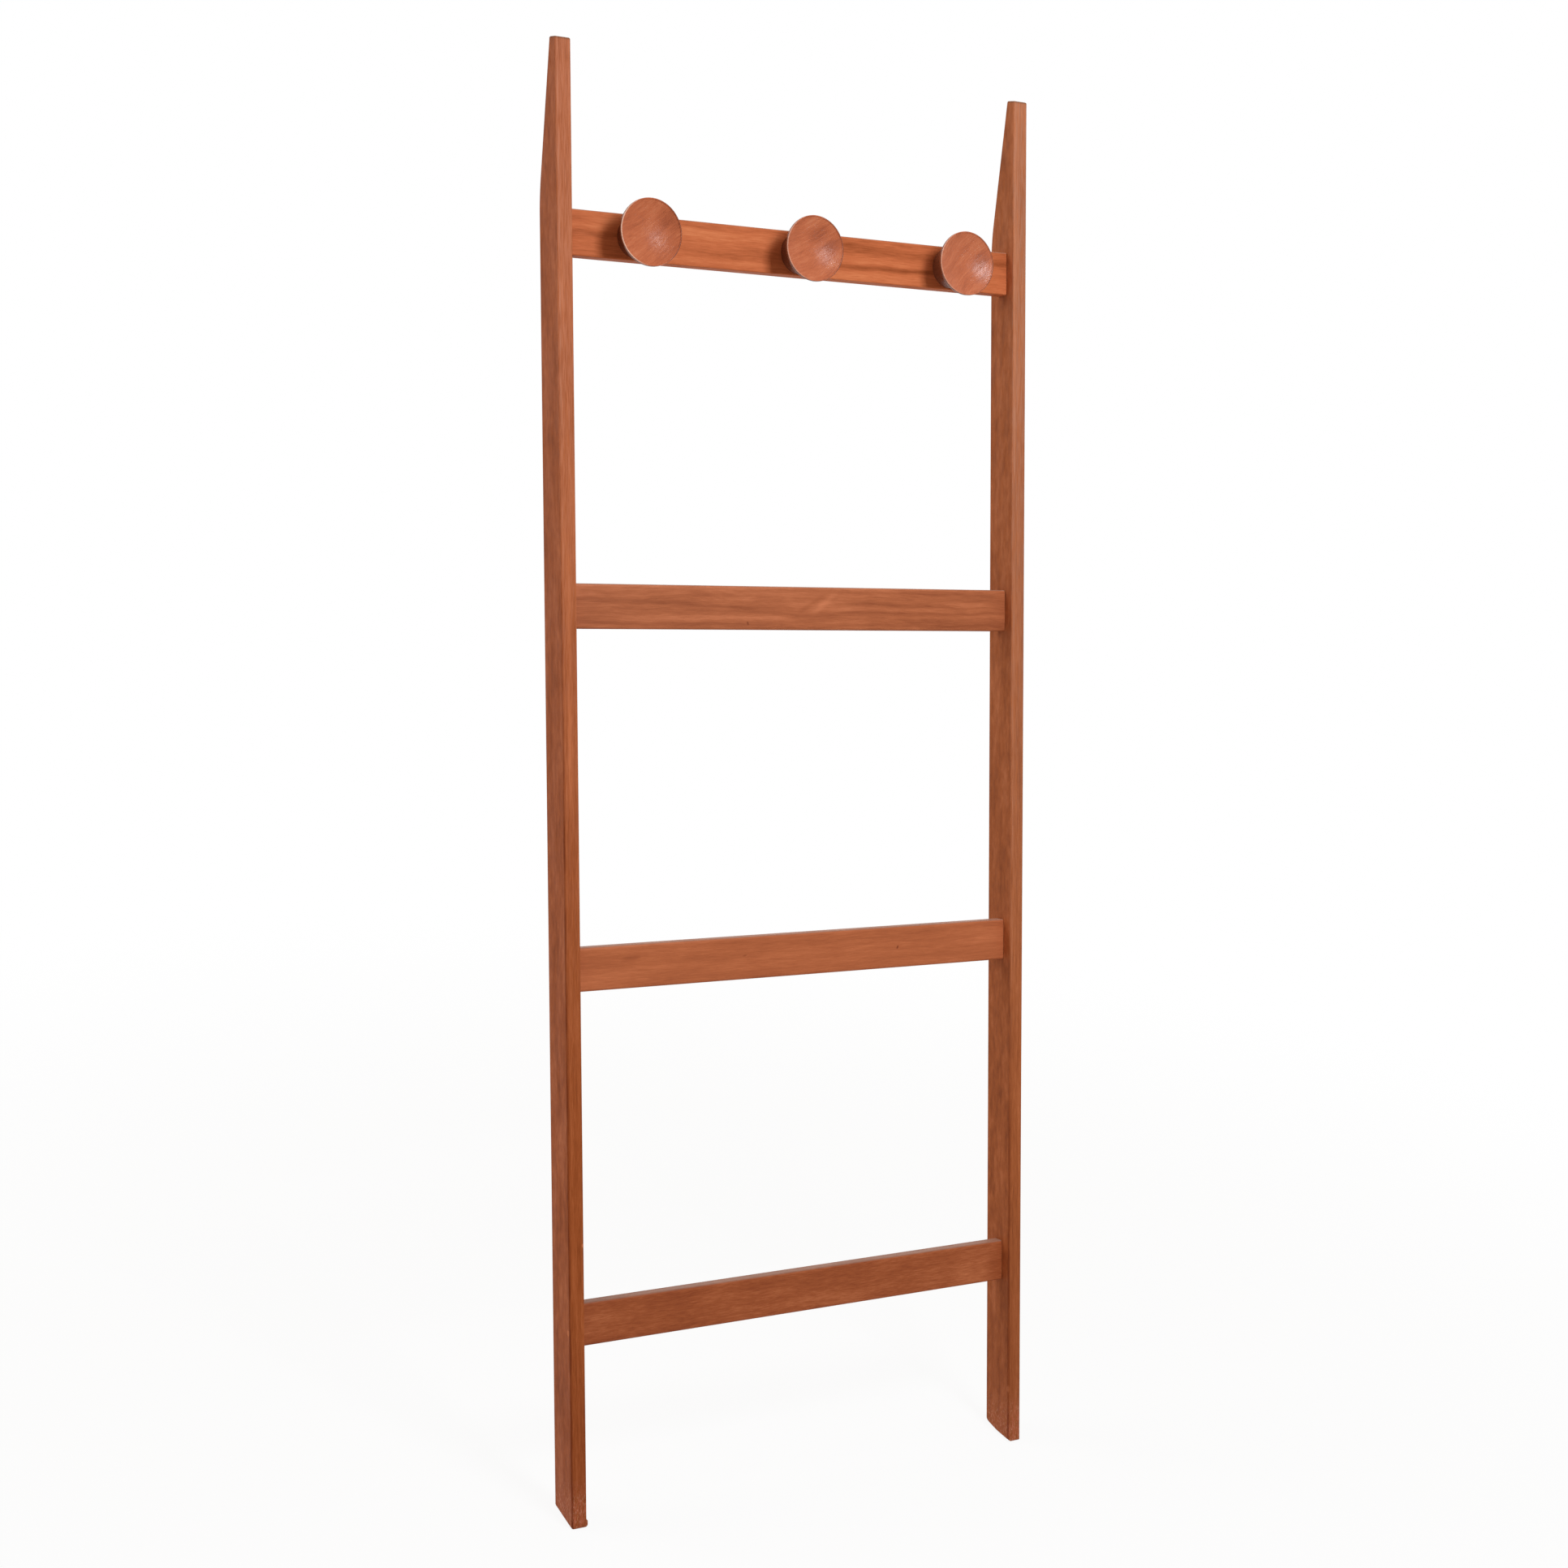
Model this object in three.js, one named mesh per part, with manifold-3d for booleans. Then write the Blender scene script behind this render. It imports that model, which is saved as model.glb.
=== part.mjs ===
// A leaning ladder rack for coats and towels: two stiles, three rungs, and a rail with three turned
// pegs. Millimetres, +Z up, front towards -Y, wall towards +Y. The rack is drawn standing straight,
// with y running from its front face to its back, and then leans back as one group until its feet
// lie flat on the floor and the tapered tops of its stiles lie flat on the wall.

import * as THREE from 'three';
import { mergeVertices } from 'three/addons/utils/BufferGeometryUtils.js';
import Module from 'manifold-3d';

const wasm = await Module();
wasm.setup();

// ---- the rack as a whole
const leanAngle = THREE.MathUtils.degToRad(11.5); // from the vertical, in use
const rackWidth = 600; // over the outer faces of the stiles

// ---- stiles
const stileThickness = 18;
const stileDepth = 47.5;
const stileLength = 1614; // along the front face, from the floor to the top
const topLedge = 15.3; // what the taper leaves of the level top, front to wall
const taperEase = 18; // length over which the back runs into the taper, each way
const stileCornerEase = 2.5; // at the foot and the top
const stileEdgeRound = 1.4; // along every long edge

// ---- rungs and peg rail, all of one height and thickness
const slatHeight = 49;
const slatThickness = 16.5;
const slatSetback = 14; // front of the stiles to front of the rungs
const rungEdgeEase = 3.2;
const railEdgeEase = 1.6;
const lowestRungHeight = 226.5; // foot to middle of the lowest rung, along the stile
const railDrop = 197.4; // top of the stiles to middle of the peg rail, along the stile
const seamGap = 0.3; // end of a slat to the stile

// ---- pegs
const pegInset = 81; // inner face of a stile to the middle of the peg beside it
const pegDiameter = 72;
const pegReach = 38.7; // face of the rail to the front of the lip
const pegBaseDiameter = 46;
const pegWaistDiameter = 43;
const pegWaistReach = 11; // face of the rail to the waist
const pegRimThickness = 3;
const pegFlareLead = 9; // how far the flare runs on straight behind the rim
const pegWaistLead = 9.7; // and in front of the waist
const pegLipWidth = 1.6;
const pegDishDepth = 8.7;
const pegSeatGap = 0.3;

// ---- wood screws that hold the pegs from behind the rail
const screwBite = 22; // how far it reaches into the peg
const screwShankDiameter = 4;
const screwHeadDiameter = 8.4;
const screwHeadRim = 0.5; // flat edge of the countersunk head
const screwTipLength = 5;
const screwSlotWidth = 1.1;
const screwSlotDepth = 1.2;
const screwSink = 0.4; // head below the back of the rail
const screwClearance = 0.3;

// ---- blind dowels, two in each joint of a slat and a stile
const dowelDiameter = 8;
const dowelLength = 30;
const dowelDepthInStile = 11;
const dowelSpread = 25; // between the two dowels of a joint
const dowelClearance = 0.3;

// ---- fineness of the round shapes
const turnedSides = 36;
const dowelSides = 16;
const screwSides = 24;
const easeSteps = 3;
const pegCurveSteps = 6;

// ---- places worked out from the sizes above
const stileInside = rackWidth / 2 - stileThickness;
const slatLength = 2 * (stileInside - seamGap);
const slatMiddle = slatSetback + slatThickness / 2;
const railHeight = stileLength - railDrop;
const slatNames = ['lower_rung', 'middle_rung', 'upper_rung', 'peg_rail'];
const slatSpacing = (railHeight - lowestRungHeight) / (slatNames.length - 1);
const slats = slatNames.map((name, step) => ({
  name,
  height: lowestRungHeight + step * slatSpacing,
  ease: name === 'peg_rail' ? railEdgeEase : rungEdgeEase,
}));
const pegs = ['left_peg', 'middle_peg', 'right_peg'].map((name, step) => (
  { name, x: (step - 1) * (stileInside - pegInset) }
));
const screwHeadBack = slatThickness - screwSink; // behind the face of the rail
const screwLength = screwHeadBack + screwBite;
const level = new THREE.Vector2(Math.cos(leanAngle), Math.sin(leanAngle)); // floor line, leaned frame
const plumb = new THREE.Vector2(-Math.sin(leanAngle), Math.cos(leanAngle)); // wall line, leaned frame

// ---- wood and metal
const teak = (colour) => new THREE.MeshStandardMaterial({ color: colour, roughness: 0.5, metalness: 0 });
const stileTeak = () => teak(0xa5633f);
const slatTeak = () => teak(0xaf6444);
const pegTeak = () => teak(0xb9694e);
const dowelBeech = () => teak(0xcfa878);
const brass = () => new THREE.MeshStandardMaterial({ color: 0xb08d4a, roughness: 0.4, metalness: 1 });

// ---- solids
function toSolid(geometry) {
  const bare = geometry.clone();
  bare.deleteAttribute('normal');
  bare.deleteAttribute('uv');
  const merged = mergeVertices(bare, 1e-4);
  return new wasm.Manifold(new wasm.Mesh({
    numProp: 3,
    vertProperties: new Float32Array(merged.attributes.position.array),
    triVerts: new Uint32Array(merged.index.array),
  }));
}

function toGeometry(solid) {
  const mesh = solid.getMesh();
  const geometry = new THREE.BufferGeometry();
  geometry.setAttribute('position', new THREE.BufferAttribute(mesh.vertProperties, 3));
  geometry.setIndex(new THREE.BufferAttribute(mesh.triVerts, 1));
  geometry.computeVertexNormals();
  return geometry;
}

function cutAway(geometry, cutters) {
  return toGeometry(cutters.reduce((solid, cutter) => solid.subtract(toSolid(cutter)), toSolid(geometry)));
}

// An outline through the corners given, each rounded over its ease
function easedOutline(corners) {
  const shape = new THREE.Shape();
  corners.forEach(({ at, ease }, index) => {
    const before = corners.at(index - 1).at;
    const after = corners[(index + 1) % corners.length].at;
    const start = at.clone().add(before.clone().sub(at).setLength(ease));
    const end = at.clone().add(after.clone().sub(at).setLength(ease));
    if (index === 0) shape.moveTo(start.x, start.y);
    else shape.lineTo(start.x, start.y);
    shape.quadraticCurveTo(at.x, at.y, end.x, end.y);
  });
  shape.closePath();
  return shape;
}

// Side views are drawn with x towards the back and y up, and run out to the right of the rack
const sideView = new THREE.Matrix4().makeBasis(
  new THREE.Vector3(0, 1, 0),
  new THREE.Vector3(0, 0, 1),
  new THREE.Vector3(1, 0, 0),
);

// ---- stile: level foot and top, with the back tapered plumb to lie on the wall
function stileGeometry(dowelHoles) {
  const topFront = new THREE.Vector2(0, stileLength);
  const topBack = topFront.clone().addScaledVector(level, topLedge);
  const taperDrop = (stileDepth - topBack.x) / plumb.x; // negative: down the wall
  const taperStart = topBack.clone().addScaledVector(plumb, taperDrop);
  const heel = level.clone().multiplyScalar(stileDepth / level.x);
  const outline = easedOutline([
    { at: new THREE.Vector2(0, 0), ease: stileCornerEase },
    { at: heel, ease: stileCornerEase },
    { at: taperStart, ease: taperEase },
    { at: topBack, ease: stileCornerEase },
    { at: topFront, ease: stileCornerEase },
  ]);
  const geometry = new THREE.ExtrudeGeometry(outline, {
    depth: stileThickness - 2 * stileEdgeRound,
    bevelThickness: stileEdgeRound,
    bevelSize: stileEdgeRound,
    bevelOffset: -stileEdgeRound,
    bevelSegments: 2,
    curveSegments: easeSteps,
  });
  geometry.translate(0, 0, stileEdgeRound - stileThickness / 2);
  geometry.applyMatrix4(sideView);
  return cutAway(geometry, dowelHoles);
}

// ---- slat: a flat bar with softened long edges, between the stiles
function slatGeometry(ease, holes) {
  const halfHeight = slatHeight / 2;
  const corner = (y, z) => ({ at: new THREE.Vector2(y, z), ease });
  const outline = easedOutline([
    corner(0, -halfHeight),
    corner(slatThickness, -halfHeight),
    corner(slatThickness, halfHeight),
    corner(0, halfHeight),
  ]);
  const geometry = new THREE.ExtrudeGeometry(outline, {
    depth: slatLength,
    bevelEnabled: false,
    curveSegments: easeSteps,
  });
  geometry.translate(0, 0, -slatLength / 2);
  geometry.applyMatrix4(sideView);
  return cutAway(geometry, holes);
}

// ---- dowels: side is -1 for the left stile and 1 for the right one
const dowelRises = [-dowelSpread / 2, dowelSpread / 2];

function dowelMiddle(side) {
  return side * (stileInside + dowelDepthInStile - dowelLength / 2);
}

function dowelGeometry(growth) {
  const radius = dowelDiameter / 2 + growth;
  const geometry = new THREE.CylinderGeometry(radius, radius, dowelLength + 2 * growth, dowelSides);
  return geometry.rotateZ(Math.PI / 2);
}

// The dowel holes of one joint, centred on a slat's middle height
function dowelHoles(x, y, z) {
  return dowelRises.map((rise) => dowelGeometry(dowelClearance).translate(x, y, z + rise));
}

// ---- screw: turned along y, its head at the back of the rail and its tip in the peg
function screwProfile(growth) {
  const shank = screwShankDiameter / 2 + growth;
  const head = screwHeadDiameter / 2 + growth;
  const top = screwLength + growth;
  const coneLength = head - shank; // a right-angled countersink
  return [
    new THREE.Vector2(0, -growth),
    new THREE.Vector2(shank, screwTipLength - growth),
    new THREE.Vector2(shank, screwLength - screwHeadRim - coneLength),
    new THREE.Vector2(head, screwLength - screwHeadRim),
    new THREE.Vector2(head, top),
    new THREE.Vector2(0, top),
  ];
}

function screwGeometry() {
  const blank = new THREE.LatheGeometry(screwProfile(0), screwSides);
  const slot = new THREE.BoxGeometry(2 * screwHeadDiameter, 2 * screwSlotDepth, screwSlotWidth);
  slot.translate(0, screwLength, 0);
  return cutAway(blank, [slot]);
}

// The room that a screw needs, open right through the back of the rail
function screwRoom() {
  const room = new THREE.LatheGeometry(screwProfile(screwClearance), screwSides);
  const wayIn = new THREE.CylinderGeometry(
    screwHeadDiameter / 2 + screwClearance,
    screwHeadDiameter / 2 + screwClearance,
    2 * screwHeadDiameter,
    screwSides,
  );
  wayIn.translate(0, screwLength + screwHeadDiameter, 0);
  return [room, wayIn].map((cutter) => cutter.translate(0, -screwBite, 0));
}

// ---- peg: y is 0 at its seat on the rail and falls towards the front
function pegGeometry() {
  const base = pegBaseDiameter / 2;
  const waist = pegWaistDiameter / 2;
  const rim = pegDiameter / 2;
  const dishEdge = rim - pegLipWidth;
  const lipRound = pegLipWidth / 2;
  const dishFloor = -pegReach + pegDishDepth;
  const rimBack = -pegReach + pegRimThickness;
  const profile = new THREE.Path();
  profile.moveTo(0, dishFloor);
  profile.quadraticCurveTo(dishEdge / 2, dishFloor, dishEdge, -pegReach + lipRound);
  profile.quadraticCurveTo(dishEdge, -pegReach, dishEdge + lipRound, -pegReach);
  profile.quadraticCurveTo(rim, -pegReach, rim, -pegReach + lipRound);
  profile.lineTo(rim, rimBack);
  profile.bezierCurveTo(
    rim - pegRimThickness,
    rimBack + pegFlareLead,
    waist,
    -pegWaistReach - pegWaistLead,
    waist,
    -pegWaistReach,
  );
  profile.quadraticCurveTo(waist, -pegWaistReach / 2, base, -pegSeatGap);
  profile.lineTo(0, -pegSeatGap);
  const geometry = new THREE.LatheGeometry(profile.getPoints(pegCurveSteps), turnedSides);
  return cutAway(geometry, screwRoom());
}

// ---- assembly
const rack = new THREE.Group();

function place(name, geometry, material, x, y, z) {
  const mesh = new THREE.Mesh(geometry, material);
  mesh.name = name;
  mesh.position.set(x, y, z);
  rack.add(mesh);
}

for (const [name, side] of [['left', -1], ['right', 1]]) {
  const stileMiddle = side * (stileInside + stileThickness / 2);
  const holeMiddle = dowelMiddle(side) - stileMiddle;
  const holes = slats.flatMap((slat) => dowelHoles(holeMiddle, slatMiddle, slat.height));
  place(`${name}_stile`, stileGeometry(holes), stileTeak(), stileMiddle, 0, 0);
}

for (const slat of slats) {
  const holes = [-1, 1].flatMap((side) => dowelHoles(dowelMiddle(side), slatThickness / 2, 0));
  if (slat.name === 'peg_rail') {
    holes.push(...pegs.flatMap(({ x }) => screwRoom().map((cutter) => cutter.translate(x, 0, 0))));
  }
  place(slat.name, slatGeometry(slat.ease, holes), slatTeak(), 0, slatSetback, slat.height);
  for (const [end, side] of [['left', -1], ['right', 1]]) {
    for (const [row, rise] of [['lower', dowelRises[0]], ['upper', dowelRises[1]]]) {
      const name = `${slat.name}_${end}_${row}_dowel`;
      const height = slat.height + rise;
      place(name, dowelGeometry(0), dowelBeech(), dowelMiddle(side), slatMiddle, height);
    }
  }
}

for (const { name, x } of pegs) {
  place(name, pegGeometry(), pegTeak(), x, slatSetback, railHeight);
  place(`${name}_screw`, screwGeometry(), brass(), x, slatSetback - screwBite, railHeight);
}

// Lean the rack back, and set it down with its footprint centred on the origin
rack.rotation.x = -leanAngle;
rack.updateMatrixWorld(true);
const extent = new THREE.Box3().setFromObject(rack, true);
const scene = new THREE.Group();
rack.position.y = -(extent.min.y + extent.max.y) / 2;
scene.add(rack);

export default scene;
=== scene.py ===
import math

import bpy
from mathutils import Matrix, Vector


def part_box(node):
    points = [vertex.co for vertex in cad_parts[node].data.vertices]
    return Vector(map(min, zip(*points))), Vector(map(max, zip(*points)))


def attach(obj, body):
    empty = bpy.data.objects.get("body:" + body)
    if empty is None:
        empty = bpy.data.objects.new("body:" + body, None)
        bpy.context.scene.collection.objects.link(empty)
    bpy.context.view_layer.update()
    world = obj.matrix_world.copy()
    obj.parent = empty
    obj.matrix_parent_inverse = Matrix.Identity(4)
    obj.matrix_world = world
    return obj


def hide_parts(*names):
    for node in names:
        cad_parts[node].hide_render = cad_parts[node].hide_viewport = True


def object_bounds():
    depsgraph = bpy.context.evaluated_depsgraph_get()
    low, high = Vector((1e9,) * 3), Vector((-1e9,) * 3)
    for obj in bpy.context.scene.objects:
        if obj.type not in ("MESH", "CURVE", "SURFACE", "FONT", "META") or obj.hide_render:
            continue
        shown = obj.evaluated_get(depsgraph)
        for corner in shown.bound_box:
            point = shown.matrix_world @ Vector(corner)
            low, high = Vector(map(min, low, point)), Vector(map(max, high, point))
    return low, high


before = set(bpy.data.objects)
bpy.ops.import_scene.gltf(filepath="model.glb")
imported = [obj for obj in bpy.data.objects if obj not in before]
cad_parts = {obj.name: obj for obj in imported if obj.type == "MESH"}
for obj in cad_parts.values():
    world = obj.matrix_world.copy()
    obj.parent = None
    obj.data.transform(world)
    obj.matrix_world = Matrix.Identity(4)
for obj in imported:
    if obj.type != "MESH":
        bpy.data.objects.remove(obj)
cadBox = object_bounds()
bpy.context.scene.view_settings.view_transform = "Standard"


# Directions of the leaning rack, taken from how its slats climb
def middleOf(node):
    low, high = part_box(node)
    return (low + high) / 2


climb = middleOf("peg_rail") - middleOf("lower_rung")
lean = math.atan2(climb.y, climb.z)
sideways = Vector((1, 0, 0))
up = Vector((0, math.sin(lean), math.cos(lean)))
back = Vector((0, math.cos(lean), -math.sin(lean)))
front = -back

slatNames = ("lower_rung", "middle_rung", "upper_rung", "peg_rail")
pegNames = ("left_peg", "middle_peg", "right_peg")
dowelNames = [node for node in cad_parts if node.endswith("_dowel")]

# How exact the bench is
benchMade = {
    "sameWithin": 0.0001,
    "weldWithin": 0.000004,
    "scribeSize": 0.001,
}


# Handling a piece
def selectNothing():
    if bpy.context.mode != "OBJECT":
        bpy.ops.object.mode_set(mode="OBJECT")
    bpy.ops.object.select_all(action="DESELECT")


def takeUp(piece):
    selectNothing()
    piece.select_set(True)
    bpy.context.view_layer.objects.active = piece


def editAll(piece):
    takeUp(piece)
    bpy.ops.object.mode_set(mode="EDIT")
    bpy.ops.mesh.select_all(action="SELECT")


def editNone(piece, kind):
    editAll(piece)
    bpy.ops.mesh.select_mode(type=kind)
    bpy.ops.mesh.select_all(action="DESELECT")


def stopEditing():
    bpy.ops.object.mode_set(mode="OBJECT")


# Leaves the piece in edit mode with the chosen corners, edges or faces selected
def pick(piece, kind, chosen):
    editNone(piece, kind)
    stopEditing()
    mesh = piece.data
    for part in {"VERT": mesh.vertices, "EDGE": mesh.edges, "FACE": mesh.polygons}[kind]:
        part.select = chosen(part)
    bpy.ops.object.mode_set(mode="EDIT")


def pickEdges(piece, chosen):
    def isChosen(edge):
        start, end = (piece.data.vertices[index].co for index in edge.vertices)
        return chosen(start, end)

    pick(piece, "EDGE", isChosen)


def settle(name):
    piece = bpy.context.object
    piece.name = name
    piece.data.name = name
    bpy.ops.object.transform_apply(location=True, rotation=True, scale=True)
    return piece


def applyModifier(piece, kind, **settings):
    takeUp(piece)
    modifier = piece.modifiers.new(kind, kind)
    for setting, value in settings.items():
        setattr(modifier, setting, value)
    bpy.ops.object.modifier_apply(modifier=modifier.name)


def joinPieces(pieces):
    takeUp(pieces[0])
    for piece in pieces:
        piece.select_set(True)
    bpy.ops.object.join()
    return bpy.context.object


# Bench work
def isNear(value, other):
    return abs(value - other) < benchMade["sameWithin"]


def addBar(name, middle, size):
    selectNothing()
    bpy.ops.mesh.primitive_cube_add(size=1, location=middle, rotation=(-lean, 0, 0), scale=size)
    return settle(name)


def addRod(name, middle, radius, length, sides):
    selectNothing()
    bpy.ops.mesh.primitive_cylinder_add(
        vertices=sides, radius=radius, depth=length, location=middle, rotation=(0, math.pi / 2, 0)
    )
    return settle(name)


def sawOff(piece, point, normal):
    editAll(piece)
    bpy.ops.mesh.bisect(plane_co=point, plane_no=normal, use_fill=True, clear_outer=True)
    stopEditing()


def roundOver(piece, chosen, ease, steps):
    pickEdges(piece, chosen)
    bpy.ops.mesh.bevel(offset=ease, segments=steps, affect="EDGES")
    stopEditing()


def weighSharpEdges(piece, angle, weight):
    editNone(piece, "EDGE")
    bpy.ops.mesh.edges_select_sharp(sharpness=math.radians(angle))
    bpy.ops.transform.edge_bevelweight(value=weight)
    stopEditing()


# A weight is added to what an edge has, so it is taken back to nothing first
def weighEdges(piece, chosen, weight):
    pickEdges(piece, chosen)
    bpy.ops.transform.edge_bevelweight(value=-1)
    bpy.ops.transform.edge_bevelweight(value=weight)
    stopEditing()


def cutWith(piece, cutters):
    cutter = joinPieces(cutters) if len(cutters) > 1 else cutters[0]
    applyModifier(piece, "BOOLEAN", object=cutter, operation="DIFFERENCE", solver="EXACT")
    bpy.data.objects.remove(cutter)


def sandSmooth(piece, angle):
    takeUp(piece)
    bpy.ops.object.shade_smooth_by_angle(angle=math.radians(angle))
    applyModifier(piece, "WEIGHTED_NORMAL", keep_sharp=True)


# A Bezier curve as points, without its first one
def curvePoints(handles, steps):
    made = []
    for step in range(1, steps + 1):
        row = [Vector(handle) for handle in handles]
        while len(row) > 1:
            row = [a.lerp(b, step / steps) for a, b in zip(row, row[1:])]
        made.append(tuple(row[0]))
    return made


# Turns a profile of (radius, reach towards the front) round an axis through the seat. A small
# plane is merged to one corner, and that corner is drawn along the profile.
def turnOnLathe(name, profile, seat, steps):
    selectNothing()
    start = seat + front * profile[0][1]
    bpy.ops.mesh.primitive_plane_add(size=benchMade["scribeSize"], location=start)
    piece = settle(name)
    editAll(piece)
    bpy.ops.mesh.select_mode(type="VERT")
    bpy.ops.mesh.merge(type="CENTER")
    for (radiusWas, reachWas), (radius, reach) in zip(profile, profile[1:]):
        stroke = sideways * (radius - radiusWas) + front * (reach - reachWas)
        bpy.ops.mesh.extrude_region_move(TRANSFORM_OT_translate={"value": stroke})
    bpy.ops.mesh.select_all(action="SELECT")
    bpy.ops.mesh.spin(steps=steps, angle=math.tau, center=seat, axis=front)
    bpy.ops.mesh.select_all(action="SELECT")
    bpy.ops.mesh.remove_doubles(threshold=benchMade["weldWithin"])
    bpy.ops.mesh.normals_make_consistent(inside=False)
    stopEditing()
    return piece


def finishPiece(piece, node, material):
    piece.data.materials.clear()
    piece.data.materials.append(material)
    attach(piece, "root")
    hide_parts(node)


# Shader building. A tint is a colour code in linear light.
def tint(code):
    parts = [int(code[start:start + 2], 16) / 255 for start in (0, 2, 4)]
    return (*(((part + 0.055) / 1.055) ** 2.4 for part in parts), 1)


def addNode(tree, kind, inputs, output=0, **settings):
    node = tree.nodes.new("ShaderNode" + kind)
    for setting, value in settings.items():
        setattr(node, setting, value)
    for socket, value in inputs.items():
        if isinstance(value, bpy.types.NodeSocket):
            tree.links.new(value, node.inputs[socket])
        else:
            node.inputs[socket].default_value = value
    return node.outputs[output]


def newMaterial(name):
    material = bpy.data.materials.new(name)
    material.use_nodes = True
    return material, material.node_tree, material.node_tree.nodes["Principled BSDF"]


def stretched(tree, place, scales, seed):
    return addNode(tree, "Mapping", {"Vector": place, "Scale": scales, "Location": (seed, seed, seed)})


def noiseOf(tree, place, detail, roughness=0.5):
    inputs = {"Vector": place, "Scale": 1, "Detail": detail, "Roughness": roughness}
    return addNode(tree, "TexNoise", inputs)


def ranged(tree, value, low, high, toLow=0.0, toHigh=1.0, kind="SMOOTHSTEP"):
    inputs = {"Value": value, "From Min": low, "From Max": high, "To Min": toLow, "To Max": toHigh}
    return addNode(tree, "MapRange", inputs, interpolation_type=kind)


def sums(tree, operation, *values):
    return addNode(tree, "Math", dict(enumerate(values)), operation=operation)


def product(tree, first, *others):
    total = first
    for value in others:
        total = sums(tree, "MULTIPLY", total, value)
    return total


def vectorSums(tree, operation, *values):
    return addNode(tree, "VectorMath", dict(enumerate(values)), operation=operation)


def lengthOf(tree, vector):
    return addNode(tree, "VectorMath", {0: vector}, output="Value", operation="LENGTH")


def added(tree, parts, base):
    total = base
    for value, share in parts:
        total = sums(tree, "MULTIPLY_ADD", value, share, total)
    return total


def mixedColour(tree, factor, first, second):
    inputs = {0: factor, 6: first, 7: second}  # sockets 6 and 7 are the node's two colours
    return addNode(tree, "Mix", inputs, output=2, data_type="RGBA")


def rampOf(tree, value, colours):
    node = tree.nodes.new("ShaderNodeValToRGB")
    tree.links.new(value, node.inputs[0])
    ramp = node.color_ramp
    for _ in colours[2:]:  # a new ramp has two stops
        ramp.elements.new(0.5)
    for index, colour in enumerate(colours):
        ramp.elements[index].position = index / (len(colours) - 1)
        ramp.elements[index].color = tint(colour)
    return node.outputs[0]


# Marks in the wood, measured from the middle of the board: x along the grain, z across its face
markMade = {
    "streakSoft": 0.03,
    "knotCore": 0.3,
}


def streakMark(tree, axes, mark):
    line = sums(tree, "MULTIPLY_ADD", axes[0], -mark.get("rise", 0), axes[2])
    away = sums(tree, "ABSOLUTE", sums(tree, "SUBTRACT", line, mark["height"]))
    across = ranged(tree, away, 0, mark["width"], 1, 0)
    soft = mark.get("soft", markMade["streakSoft"])
    start = ranged(tree, axes[0], mark["start"] - soft, mark["start"] + soft)
    end = ranged(tree, axes[0], mark["end"] - soft, mark["end"] + soft, 1, 0)
    return product(tree, start, end, across)


def knotMark(tree, place, mark):
    turn = (0, mark.get("turn", 0), 0)
    inputs = {"Vector": place, "Location": mark["place"], "Rotation": turn, "Scale": mark["size"]}
    inside = addNode(tree, "Mapping", inputs, vector_type="TEXTURE")
    return ranged(tree, lengthOf(tree, inside), markMade["knotCore"], 1, 1, 0)


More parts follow.
